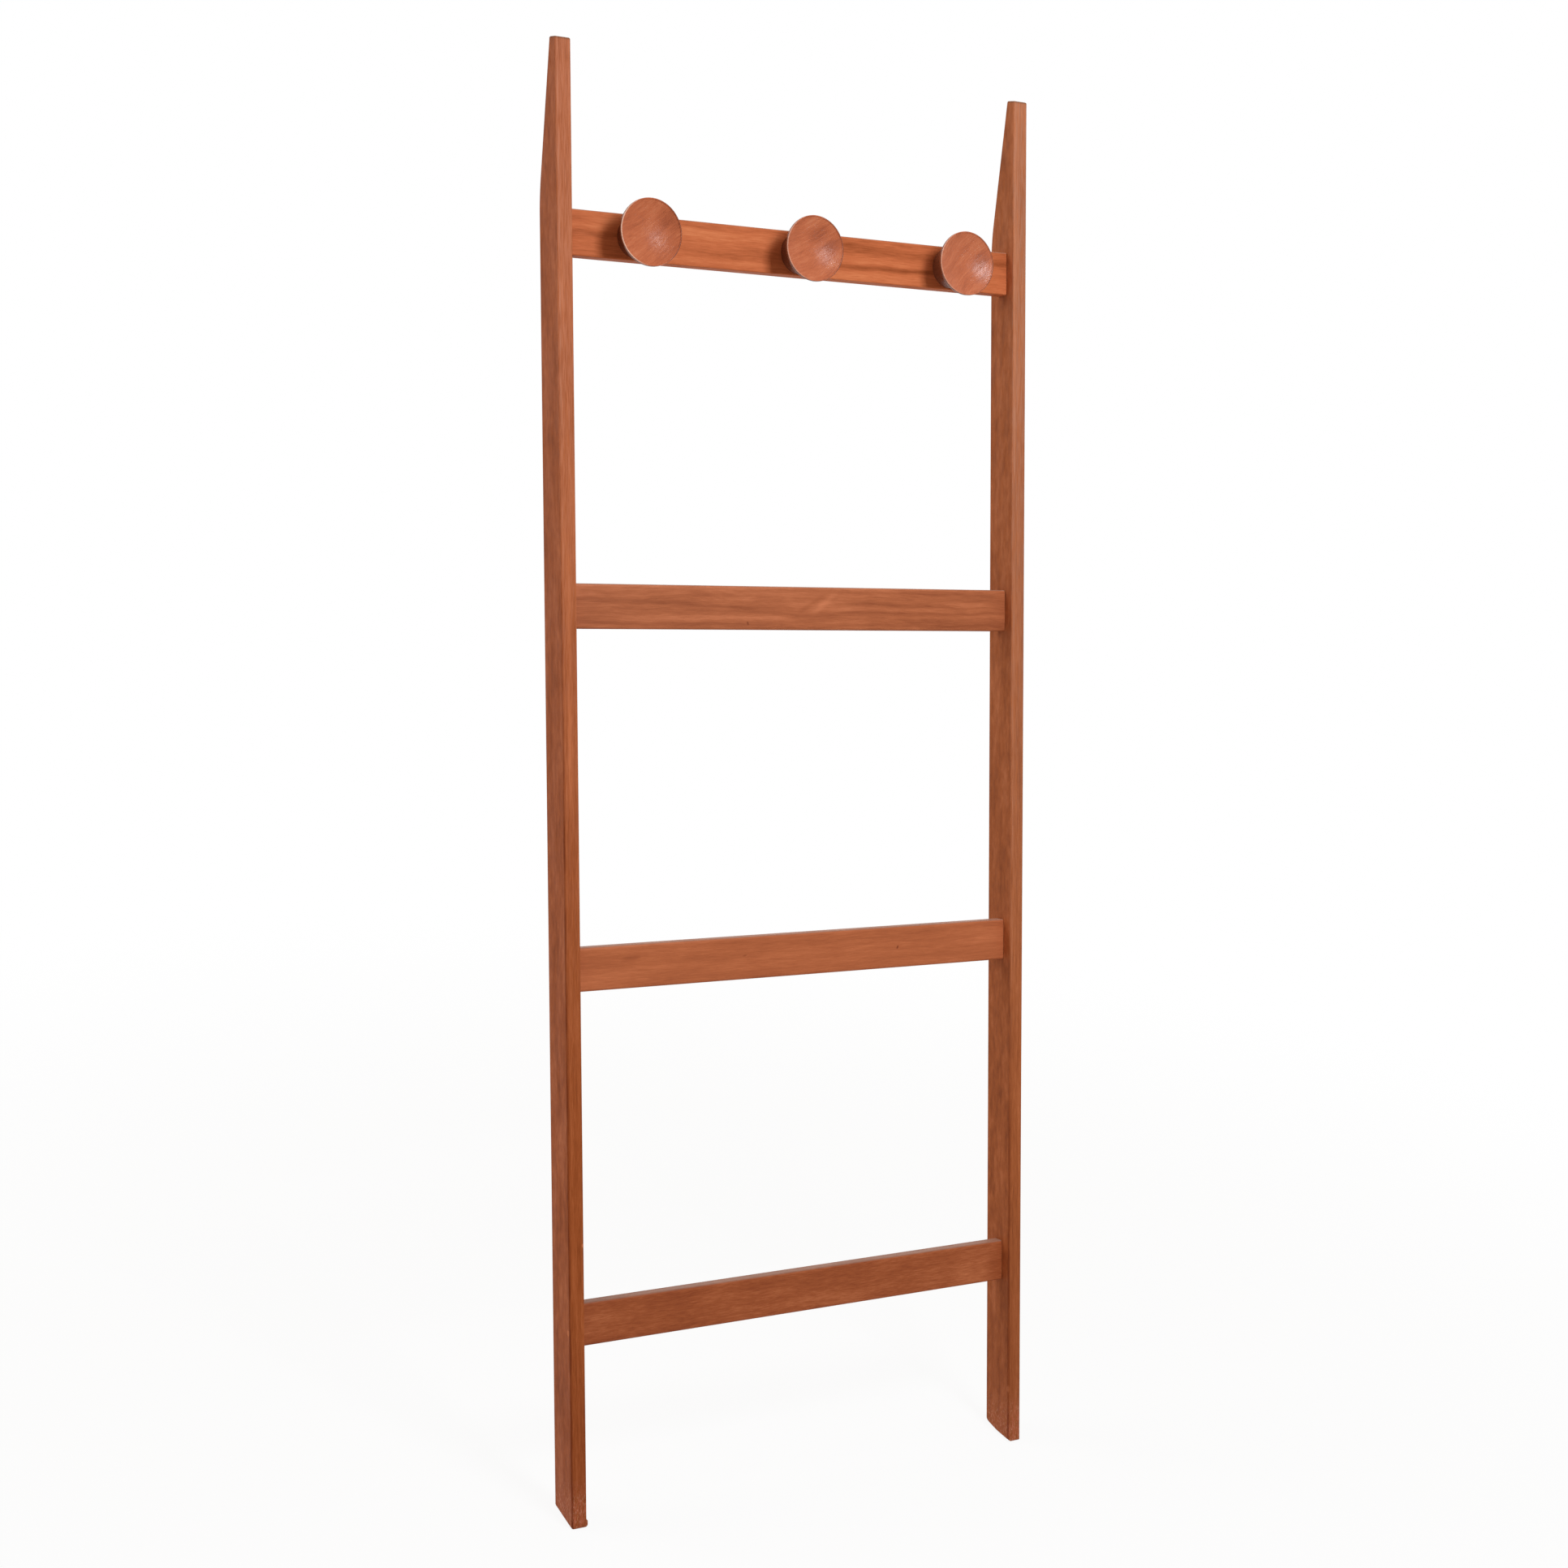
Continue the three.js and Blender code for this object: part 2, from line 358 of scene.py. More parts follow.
# Teak: wandering grain, broad figure, streaks, fibre and open pores. The place runs along
# the grain in x, through the thickness in y and across the face in z.
def teakWood(name, look, centre, turn):
    material, tree, shader = newMaterial(name)
    seed = look["seed"]
    place = addNode(tree, "TexCoord", {}, output="Object")
    inputs = {"Vector": place, "Location": centre, "Rotation": turn}
    board = addNode(tree, "Mapping", inputs, vector_type="TEXTURE")

    inputs = {"Vector": stretched(tree, board, look["wanderScale"], seed), "Scale": 1, "Detail": 2}
    swing = vectorSums(tree, "SUBTRACT", addNode(tree, "TexNoise", inputs, output="Color"), (0.5, 0.5, 0.5))
    amount = (0, look["wander"], look["wander"])
    grain = vectorSums(tree, "MULTIPLY_ADD", swing, amount, board)

    figure = noiseOf(tree, stretched(tree, grain, look["figureScale"], seed), detail=2)
    streaks = noiseOf(tree, stretched(tree, grain, look["streakScale"], seed), detail=4, roughness=0.6)
    fibre = noiseOf(tree, stretched(tree, grain, look["fibreScale"], seed), detail=3, roughness=0.6)
    cloud = noiseOf(tree, stretched(tree, board, look["cloudScale"], seed), detail=3)
    inputs = {"Vector": stretched(tree, grain, look["poreScale"], seed), "Scale": 1}
    pores = addNode(tree, "TexVoronoi", inputs, output="Distance")
    pores = ranged(tree, pores, *look["poreSize"], 1, 0)

    grainParts = [
        (figure, look["figure"]),
        (streaks, look["streaks"]),
        (fibre, look["fibre"]),
        (cloud, look["cloud"]),
    ]
    base = 0.5 - sum(share for _, share in grainParts) / 2  # plain noise comes out as the middle tone
    tone = added(tree, [*grainParts, (pores, -look["pores"])], base)
    split = tree.nodes.new("ShaderNodeSeparateXYZ")
    tree.links.new(grain, split.inputs[0])
    streakMarks = look.get("streakMarks", ())
    knotMarks = look.get("knotMarks", ())
    marks = [(streakMark(tree, split.outputs, mark), mark["tone"]) for mark in streakMarks]
    marks += [(knotMark(tree, board, mark), mark["tone"]) for mark in knotMarks]
    tone = added(tree, marks, tone)
    # The look's wear step paints real wear and also painted light: sheen and highlight on the stiles, sheen
    # on slat tops, highlight and shade on the pegs
    colour = look["wearAndLight"](tree, board, rampOf(tree, tone, look["colours"]), look)
    tree.links.new(colour, shader.inputs["Base Color"])

    dull = look["roughness"] + look["roughSpread"]
    polished = look["roughness"] - look["roughSpread"]
    roughness = ranged(tree, streaks, *look["roughStreaks"], dull, polished)
    tree.links.new(roughness, shader.inputs["Roughness"])
    shader.inputs["Specular IOR Level"].default_value = look["gloss"]

    reliefParts = [(part, look["grainRelief"]) for part in (fibre, streaks)]
    reliefParts.append((pores, look["poreRelief"]))
    if "toolMarks" in look:
        radius = lengthOf(tree, vectorSums(tree, "MULTIPLY", board, (1, 1, 0)))
        rings = sums(tree, "SINE", sums(tree, "MULTIPLY", radius, math.tau / look["toolMarks"]))
        reliefParts.append((rings, look["toolRelief"]))
    relief = added(tree, reliefParts, 0.5)
    inputs = {"Height": relief, "Strength": look["relief"], "Distance": look["reliefDepth"]}
    tree.links.new(addNode(tree, "Bump", inputs), shader.inputs["Normal"])
    return material


# Dowels: fluted, with shrunken tips, in blind holes
dowelMade = {
    "diameter": 0.008,
    "length": 0.030,
    "room": 0.0003,
    "holeSides": 32,
    "flutes": 12,
    "sidesPerFlute": 4,
    "fluteDepth": 0.93,
    "tipLength": 0.0013,
    "tipShrink": 0.8,
    "smoothAngle": 20,
}


def dowelHole(node):
    made = dowelMade
    radius = made["diameter"] / 2 + made["room"]
    return addRod("dowelHole", middleOf(node), radius, made["length"] + 2 * made["room"], made["holeSides"])


def makeDowel(node):
    made = dowelMade
    middle = middleOf(node)
    sides = made["sidesPerFlute"] * made["flutes"]
    body = made["length"] - 2 * made["tipLength"]
    dowel = addRod(node + "_wood", middle, made["diameter"] / 2, body, sides)
    for side in (-1, 1):
        pick(dowel, "FACE", lambda face: isNear(face.normal.x, side))
        bpy.ops.mesh.extrude_region_move(TRANSFORM_OT_translate={"value": (side * made["tipLength"], 0, 0)})
        tip = middle + sideways * side * made["length"] / 2
        shrink = (1, made["tipShrink"], made["tipShrink"])
        bpy.ops.transform.resize(value=shrink, center_override=tip)
        stopEditing()

    def inFlute(vertex):
        offset = vertex.co - middle
        turnStep = round(math.atan2(offset.z, offset.y) / math.tau * sides)
        return turnStep % made["sidesPerFlute"] == 0

    pick(dowel, "VERT", inFlute)
    groove = (1, made["fluteDepth"], made["fluteDepth"])
    bpy.ops.transform.resize(value=groove, center_override=middle)
    stopEditing()
    sandSmooth(dowel, made["smoothAngle"])
    return dowel


# Stiles: a bar sawn level at the floor and the top, and plumb where it meets the wall
stileMade = {
    "depth": 0.0475,
    "topLedge": 0.0153,
    "taperEase": 0.018,
    "taperSteps": 6,
    "cornerEase": 0.0025,
    "footEase": 0.004,
    "footHeight": 0.008,
    "wornHeelEase": 0.0095,
    "flatSole": 0.008,
    "heelLifts": {"left": 0.0028, "right": 0.0045},
    "bruise": 0.0016,
    "bruiseHeight": 0.0078,
    "bruiseStep": 0.0018,
    "bruiseLength": 0.012,
    "bruiseWidth": 0.0045,
    "wornToe": {"across": 0.0064, "rise": 0.0046},
    "wornSole": {"rise": 0.0022, "away": 0.029},
    "edgeRound": 0.0014,
    "edgeSteps": 4,
    "sharpAngle": 45,
    "smoothAngle": 35,
}


def stileMiddle(node):
    low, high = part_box(node)
    topFront = Vector(((low.x + high.x) / 2, high.y - stileMade["topLedge"], high.z))
    return topFront + back * stileMade["depth"] / 2 - up * high.z / math.cos(lean) / 2


# A bruise that stands out at the inner corner of the left toe
def bruiseToe(stile, low, high):
    made = stileMade
    level = low.z + made["bruiseHeight"]
    for cut in (level, level + made["bruiseStep"]):
        editAll(stile)
        bpy.ops.mesh.bisect(plane_co=(0, 0, cut), plane_no=(0, 0, 1))
        stopEditing()

    def atCorner(vertex):
        onToe = vertex.co.y < low.y + made["bruiseLength"] and vertex.co.x > high.x - made["bruiseWidth"]
        return onToe and vertex.co.z < level + made["bruiseStep"] / 2

    pick(stile, "VERT", atCorner)
    bpy.ops.transform.translate(value=(made["bruise"], 0, 0))
    stopEditing()


# The inner edge of the right sole is worn off, most of all at the toe
def wearToe(stile, low):
    toe, sole = stileMade["wornToe"], stileMade["wornSole"]
    lift = (sole["away"] - stileMade["flatSole"]) * stileMade["heelLifts"]["right"] / stileMade["depth"]
    corner = Vector((low.x, low.y, low.z + toe["rise"]))
    toCorner = Vector((toe["across"], 0, -toe["rise"]))
    toHeel = Vector((0, sole["away"], lift + sole["rise"] - toe["rise"]))
    sawOff(stile, corner, toHeel.cross(toCorner).normalized())


def makeStile(node, side):
    low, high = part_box(node)
    made = stileMade
    length = high.z / math.cos(lean) + 2 * made["depth"]
    stile = addBar(node + "_wood", stileMiddle(node), (high.x - low.x, made["depth"], length))
    sawOff(stile, (0, 0, low.z), (0, 0, -1))
    sawOff(stile, (0, 0, high.z), (0, 0, 1))
    sawOff(stile, (0, high.y, 0), (0, 1, 0))
    soleBend = low.y + made["flatSole"]  # behind this the sole is worn up towards the heel
    wornTurn = math.atan2(made["heelLifts"][side], made["depth"] / math.cos(lean) - made["flatSole"])
    sawOff(stile, (0, soleBend, low.z), (0, math.sin(wornTurn), -math.cos(wornTurn)))
    footTop = low.z + made["footHeight"]
    taperStart = min(vertex.co.z for vertex in stile.data.vertices if isNear(vertex.co.y, high.y))
    heel = max(vertex.co.y for vertex in stile.data.vertices if vertex.co.z < footTop)

    def isAcross(start, end):
        return abs(start.x - end.x) > (high.x - low.x) / 2

    def atTaper(start, end):
        return isAcross(start, end) and isNear(start.y, high.y) and isNear(start.z, taperStart)

    def atTop(start, end):
        return isAcross(start, end) and isNear(start.z, high.z)

    def atFoot(start, end):
        onBend = isNear(start.y, soleBend) and isNear(end.y, soleBend)
        return start.z < footTop and end.z < footTop and not onBend

    def atHeel(start, end):
        return atFoot(start, end) and isNear(start.y, heel) and isNear(end.y, heel)

    def atOuterSole(start, end):
        return atFoot(start, end) and isNear(start.x, high.x) and isNear(end.x, high.x)

    roundOver(stile, atTaper, made["taperEase"], made["taperSteps"])
    heelEase = made["wornHeelEase"] if side == "right" else made["cornerEase"]
    widest = made["wornHeelEase"]
    weighSharpEdges(stile, made["sharpAngle"], made["edgeRound"] / widest)
    weighEdges(stile, atTop, made["cornerEase"] / widest)
    weighEdges(stile, atFoot, made["footEase"] / widest)
    weighEdges(stile, atHeel, heelEase / widest)
    if side == "right":
        weighEdges(stile, atOuterSole, made["edgeRound"] / widest)
    applyModifier(stile, "BEVEL", width=widest, segments=made["edgeSteps"], limit_method="WEIGHT")
    if side == "left":
        bruiseToe(stile, low, high)
    else:
        wearToe(stile, low)
    cutWith(stile, [dowelHole(dowel) for dowel in dowelNames if f"_{side}_" in dowel])
    sandSmooth(stile, made["smoothAngle"])
    return stile


# Slats: flat bars with softened long edges. The peg rail's are sharper.
slatMade = {
    "height": 0.049,
    "thickness": 0.0165,
    "edgeEase": 0.0032,
    "railEdgeEase": 0.0016,
    "edgeSteps": 5,
    "smoothAngle": 35,
}

# Wood screws from behind the rail, slotted and countersunk
screwMade = {
    "bite": 0.022,
    "shank": 0.002,
    "core": 0.00145,
    "coreEnd": -0.0005,
    "shankStart": -0.0020,
    "head": 0.0042,
    "rim": 0.0005,
    "tip": 0.005,
    "sides": 48,
    "slotWidth": 0.0011,
    "slotDepth": 0.0012,
    "sink": 0.0004,
    "room": 0.0003,
    "roomSides": 32,
    "pitch": 0.0018,
    "threadTurns": 9,
    "threadSteps": 24,
    "threadBite": 0.0001,
    "smoothAngle": 35,
}


# The middle of a peg's foot on the face of the rail
def pegSeat(name):
    rail = middleOf("peg_rail")
    return Vector((middleOf(name).x, rail.y, rail.z)) + front * slatMade["thickness"] / 2


def screwRoom(name):
    made = screwMade
    shank = made["shank"] + made["room"]
    head = made["head"] + made["room"]
    headFace = slatMade["thickness"] - made["sink"]
    profile = [
        (0, made["bite"]),
        (shank, made["bite"] - made["tip"]),
        (shank, made["rim"] + head - shank - headFace),
        (head, made["rim"] - headFace),
        (head, -2 * slatMade["thickness"]),
        (0, -2 * slatMade["thickness"]),
    ]
    return turnOnLathe("screwRoom", profile, pegSeat(name), made["roomSides"])


# A triangle wound round the core and sunk into it a little
def makeThread(seat):
    made = screwMade
    ridge = (made["core"] + made["shank"]) / 2
    radius = made["shank"] - ridge + made["threadBite"]
    turn = (math.pi / 2, 0, -math.pi / 2)
    selectNothing()
    bpy.ops.mesh.primitive_circle_add(vertices=3, radius=radius, location=(ridge, 0, 0), rotation=turn)
    thread = settle("thread")
    steps = made["threadSteps"]
    winding = {"axis": "Z", "angle": math.tau, "screw_offset": -made["pitch"]}
    count = {"iterations": made["threadTurns"], "steps": steps, "render_steps": steps}
    applyModifier(thread, "SCREW", **winding, **count, use_merge_vertices=False)
    thread.rotation_euler = (math.pi / 2 - lean, 0, 0)
    thread.location = seat + front * (made["bite"] - made["tip"])
    takeUp(thread)
    thread = settle("thread")
    editAll(thread)
    bpy.ops.mesh.fill_holes(sides=3)
    bpy.ops.mesh.select_all(action="SELECT")
    bpy.ops.mesh.normals_make_consistent(inside=False)
    stopEditing()
    return thread


def makeScrew(node):
    made = screwMade
    seat = pegSeat(node.removesuffix("_screw"))
    headFace = slatMade["thickness"] - made["sink"]
    profile = [
        (0, made["bite"]),
        (made["core"], made["bite"] - made["tip"]),
        (made["core"], made["coreEnd"]),
        (made["shank"], made["shankStart"]),
        (made["shank"], made["rim"] + made["head"] - made["shank"] - headFace),
        (made["head"], made["rim"] - headFace),
        (made["head"], -headFace),
        (0, -headFace),
    ]
    screw = turnOnLathe(node + "_metal", profile, seat, made["sides"])
    slotSize = (3 * made["head"], 2 * made["slotDepth"], made["slotWidth"])
    cutWith(screw, [addBar("slotCutter", seat + back * headFace, slotSize)])
    screw = joinPieces([screw, makeThread(seat)])
    sandSmooth(screw, made["smoothAngle"])
    return screw


def makeSlat(node):
    low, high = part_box(node)
    made = slatMade
    size = (high.x - low.x, made["thickness"], made["height"])
    slat = addBar(node + "_wood", (low + high) / 2, size)
    ease = made["railEdgeEase"] if node == "peg_rail" else made["edgeEase"]
    roundOver(slat, lambda start, end: abs(start.x - end.x) > size[0] / 2, ease, made["edgeSteps"])
    holes = [dowelHole(dowel) for dowel in dowelNames if dowel.startswith(node)]
    if node == "peg_rail":
        holes += [screwRoom(peg) for peg in pegNames]
    cutWith(slat, holes)
    sandSmooth(slat, made["smoothAngle"])
    return slat


# Pegs: turned, with a flared neck, a thin lip and a dished face
pegMade = {
    "radius": 0.036,
    "reach": 0.0387,
    "base": 0.023,
    "waist": 0.0215,
    "waistReach": 0.011,
    "rim": 0.003,
    "flareLead": 0.009,
    "waistLead": 0.0097,
    "lip": 0.0016,
    "dish": 0.0087,
    "seatGap": 0.0003,
    "neckSteps": 8,
    "flareSteps": 20,
    "lipSteps": 5,
    "dishSteps": 18,
    "sides": 128,
    "smoothAngle": 40,
}


def makePeg(name):
    made = pegMade
    hole = screwMade["shank"] + screwMade["room"]
    holeEnd = screwMade["bite"] + screwMade["room"]
    rim = made["radius"]
    reach = made["reach"]
    neckFoot = (made["base"], made["seatGap"])
    waist = (made["waist"], made["waistReach"])
    profile = [(0, holeEnd), (hole, holeEnd - screwMade["tip"]), (hole, made["seatGap"]), neckFoot]
    profile += curvePoints([neckFoot, (made["waist"], made["waistReach"] / 2), waist], made["neckSteps"])
    rimBack = reach - made["rim"]
    pastWaist = (made["waist"], made["waistReach"] + made["waistLead"])
    belowRim = (rim - made["rim"], rimBack - made["flareLead"])
    profile += curvePoints([waist, pastWaist, belowRim, (rim, rimBack)], made["flareSteps"])

    lipRound = made["lip"] / 2
    dishEdge = rim - made["lip"]
    outside = (rim, reach - lipRound)
    inside = (dishEdge, reach - lipRound)
    crest = (dishEdge + lipRound, reach)
    profile.append(outside)
    profile += curvePoints([outside, (rim, reach), crest], made["lipSteps"])
    profile += curvePoints([crest, (dishEdge, reach), inside], made["lipSteps"])
    floor = reach - made["dish"]
    profile += curvePoints([inside, (dishEdge / 2, floor), (0, floor)], made["dishSteps"])
    peg = turnOnLathe(name + "_wood", profile, pegSeat(name), made["sides"])
    sandSmooth(peg, made["smoothAngle"])
    return peg


# Finishes. Each piece of teak is cut from its own place in the log.
slatTurn = (-lean, 0, 0)
stileTurn = (Matrix.Rotation(-lean, 3, "X") @ Matrix.Rotation(-math.pi / 2, 3, "Y")).to_euler()

teakLook = {
    "wander": 0.010,
    "wanderScale": (6, 14, 14),
    "figure": 0.8,
    "figureScale": (2.5, 30, 45),
    "streaks": 0.9,
    "streakScale": (9, 90, 190),
    "fibre": 0.5,
    "fibreScale": (55, 350, 800),
    "cloud": 0.5,
    "cloudScale": (12, 20, 25),
    "pores": 0.05,
    "poreScale": (130, 900, 1100),
    "poreSize": (0.1, 0.35),
    "colours": ["834225", "af643f", "d4825a"],
    "roughness": 0.48,
    "roughSpread": 0.06,
    "roughStreaks": (0.3, 0.7),
    "gloss": 0.14,
    "relief": 0.35,
    "reliefDepth": 0.0002,
    "grainRelief": 0.5,
    "poreRelief": -0.7,
}


# Wear and painted light on a stile. Its left front arris has a painted highlight high up and is grimy low
# down, its face is painted paler towards the top as a sheen of reflected light, its top shows end grain, and
# its foot is soiled, stained and scuffed.
def stileWearAndSheen(tree, board, colour, look):
    split = tree.nodes.new("ShaderNodeSeparateXYZ")
    tree.links.new(board, split.inputs[0])
    along, depth, across = split.outputs
    fromFront = sums(tree, "ADD", depth, stileMade["depth"] / 2)
    fromArris = sums(tree, "SUBTRACT", look["arris"], across)
    broken = noiseOf(tree, stretched(tree, board, look["brokenScale"], look["seed"]), detail=3)
    broken = ranged(tree, broken, *look["brokenRange"])

    # The pale line down the left front arris, high up, is a painted highlight of the light the rounded arris
    # catches
    beside = sums(tree, "ABSOLUTE", sums(tree, "SUBTRACT", fromArris, look["highlightLine"]))
    beside = ranged(tree, beside, *look["highlightWidth"], 1, 0)
    onFront = ranged(tree, fromFront, *look["frontSkin"], 1, 0)
    above, below = look["highlightFade"]
    high = ranged(tree, along, look["grimeEnd"] - below, look["grimeEnd"] + above)
    paintedHighlight = product(tree, beside, onFront, high, broken, look["paintedHighlight"])
    colour = mixedColour(tree, paintedHighlight, colour, tint(look["highlightAndScuffColour"]))

    # The face is painted paler and greyer towards the top, a painted sheen in place of the lamp's
    # reflection, weaker on the sides and streaked along the fibres
    paintedSheen = ranged(tree, along, look["sheenStart"], look["sheenEnd"], 0, look["paintedSheen"], kind="LINEAR")
    sheenBySide = ranged(tree, fromFront, *look["sideStart"], 1, look["sideSheen"])
    threads = noiseOf(tree, stretched(tree, board, look["threadScale"], look["seed"]), detail=3)
    threads = ranged(tree, threads, *look["threadRange"], *look["threadSwing"])
    colour = mixedColour(tree, product(tree, paintedSheen, sheenBySide, threads), colour, tint(look["sheenColour"]))

    tilted = sums(tree, "MULTIPLY", depth, -math.sin(lean))
    level = sums(tree, "MULTIPLY_ADD", along, math.cos(lean), tilted)
    deep, shallow = look["endGrainDepth"]
    endGrain = ranged(tree, level, look["topLevel"] - deep, look["topLevel"] - shallow, 0, look["endGrain"])
    colour = mixedColour(tree, endGrain, colour, tint(look["endGrainColour"]))

    soiled = ranged(tree, along, look["soiledStart"], look["soiledEnd"], look["soiled"], 0)
    colour = mixedColour(tree, soiled, colour, tint(look["grimeAndShadeColour"]))
    foot = ranged(tree, along, look["footStart"], look["footEnd"], 1, 0)
    stains = stretched(tree, board, look["stainScale"], look["seed"])
    stains = noiseOf(tree, stains, detail=4, roughness=0.6)
    stains = ranged(tree, stains, *look["stainRange"], 0, look["stains"])
    stained = ranged(tree, fromFront, *look["sideStart"], 1, look["sideStains"])
    colour = mixedColour(tree, product(tree, stains, stained, foot), colour, tint(look["stainColour"]))
    flecks = stretched(tree, board, look["fleckScale"], look["seed"])
    flecks = noiseOf(tree, flecks, detail=4, roughness=0.7)
    flecks = ranged(tree, flecks, *look["fleckRange"])
    scuffs = product(tree, flecks, foot, look["scuffs"])
    colour = mixedColour(tree, scuffs, colour, tint(look["highlightAndScuffColour"]))

    near = ranged(tree, sums(tree, "MAXIMUM", fromFront, fromArris), *look["grimeWidth"], 1, 0)
    fade = look["grimeFade"]
    low = ranged(tree, along, look["grimeEnd"] - fade, look["grimeEnd"] + fade, 1, 0)
    patches = ranged(tree, broken, 0, 1, look["leastGrime"], look["grimeAndShade"])
    return mixedColour(tree, product(tree, near, low, patches), colour, tint(look["grimeAndShadeColour"]))


stileLook = {
    **teakLook,
    "wander": 0.004,
    "figure": 0.4,
    "figureScale": (1.8, 24, 90),
    "streaks": 0.8,
    "streakScale": (10, 60, 420),
    "fibre": 0.9,
    "fibreScale": (60, 160, 1300),
    "cloudScale": (9, 25, 25),
    "colours": ["74381a", "a2552b", "c67346"],
    "gloss": 0.05,
    "wearAndLight": stileWearAndSheen,
    "arris": 0.009,
    "brokenScale": (22, 300, 300),
    "brokenRange": (0.38, 0.62),
    "grimeAndShade": 0.7,
    "leastGrime": 0.4,
    "grimeAndShadeColour": "6a2c14",
    "grimeWidth": (0.0012, 0.0026),
    "grimeEnd": 0.15,
    "grimeFade": 0.25,
    # The painted highlight along the arris; its pale colour is also the colour of the scuffs at the foot
    "paintedHighlight": 0.32,
    "highlightAndScuffColour": "dfa488",
    "highlightLine": 0.0026,
    "highlightWidth": (0.0004, 0.0014),
    "highlightFade": (0.3, 0.1),
    "frontSkin": (0.0006, 0.0012),
    "sideStart": (0.001, 0.003),
    # Painted sheen, paler towards the top of the face
    "paintedSheen": 0.38,
    "sheenColour": "c98060",
    "sheenStart": -0.4,
    "sheenEnd": 0.5,
    "sideSheen": 0.25,
    "threadScale": (45, 200, 1300),
    "threadRange": (0.35, 0.65),
    "threadSwing": (0.4, 1.6),
    "topLevel": cadBox[1].z / 2 + math.sin(lean) * stileMade["depth"] / 2,
    "endGrain": 0.75,
    "endGrainColour": "6f4a35",
    "endGrainDepth": (0.003, 0.0005),
    "soiled": 0.2,
    "soiledStart": -0.75,
    "soiledEnd": -0.5,
    "footStart": -0.79,
    "footEnd": -0.74,
    "stains": 0.8,
    "stainColour": "b86648",
    "stainScale": (90, 160, 260),
    "stainRange": (0.36, 0.6),
    "sideStains": 0.4,
    "scuffs": 0.5,
    "fleckScale": (220, 700, 900),
    "fleckRange": (0.52, 0.64),
}

stileLooks = {
    "left": {
        **stileLook,
        "seed": 3,
        "knotMarks": [
            {"place": (-0.584, -0.0195, 0.009), "size": (0.004, 0.004, 0.0025), "tone": 0.9},
            {"place": (-0.487, -0.0237, -0.008), "size": (0.003, 0.004, 0.002), "tone": 0.8},
        ],
        "streakMarks": [
            {"height": 0.0005, "start": -0.01, "end": 0.26, "width": 0.0035, "soft": 0.06, "tone": 0.25},
        ],
    },
    "right": {
        **stileLook,
        "seed": 8,
        "colours": ["7b4026", "a95f36", "ca7b51"],
        "sheenColour": "b27f67",
        "paintedHighlight": 0.2,
        "grimeEnd": -0.35,
        "knotMarks": [
            {"place": (-0.739, -0.0237, 0.0085), "size": (0.006, 0.004, 0.002), "tone": 0.7},
        ],
    },
}


# Dust and a painted sheen of grazing light grey the top of a slat and dull the round of its edge
def slatDustAndSheen(tree, board, colour, look):
    split = tree.nodes.new("ShaderNodeSeparateXYZ")
    tree.links.new(board, split.inputs[0])
    top = slatMade["height"] / 2
    deep, shallow = look["dustAndSheenDepth"]
    dustAndSheenMask = ranged(tree, split.outputs[2], top - deep, top - shallow, 0, look["dustAndSheen"])
    return mixedColour(tree, dustAndSheenMask, colour, tint(look["dustAndSheenColour"]))


slatLook = {
    **teakLook,
    "wearAndLight": slatDustAndSheen,
    # Dust and a painted sheen along the top edge
    "dustAndSheen": 0.6,
    "dustAndSheenColour": "9a8072",
    "dustAndSheenDepth": (0.0016, 0.0002),
}

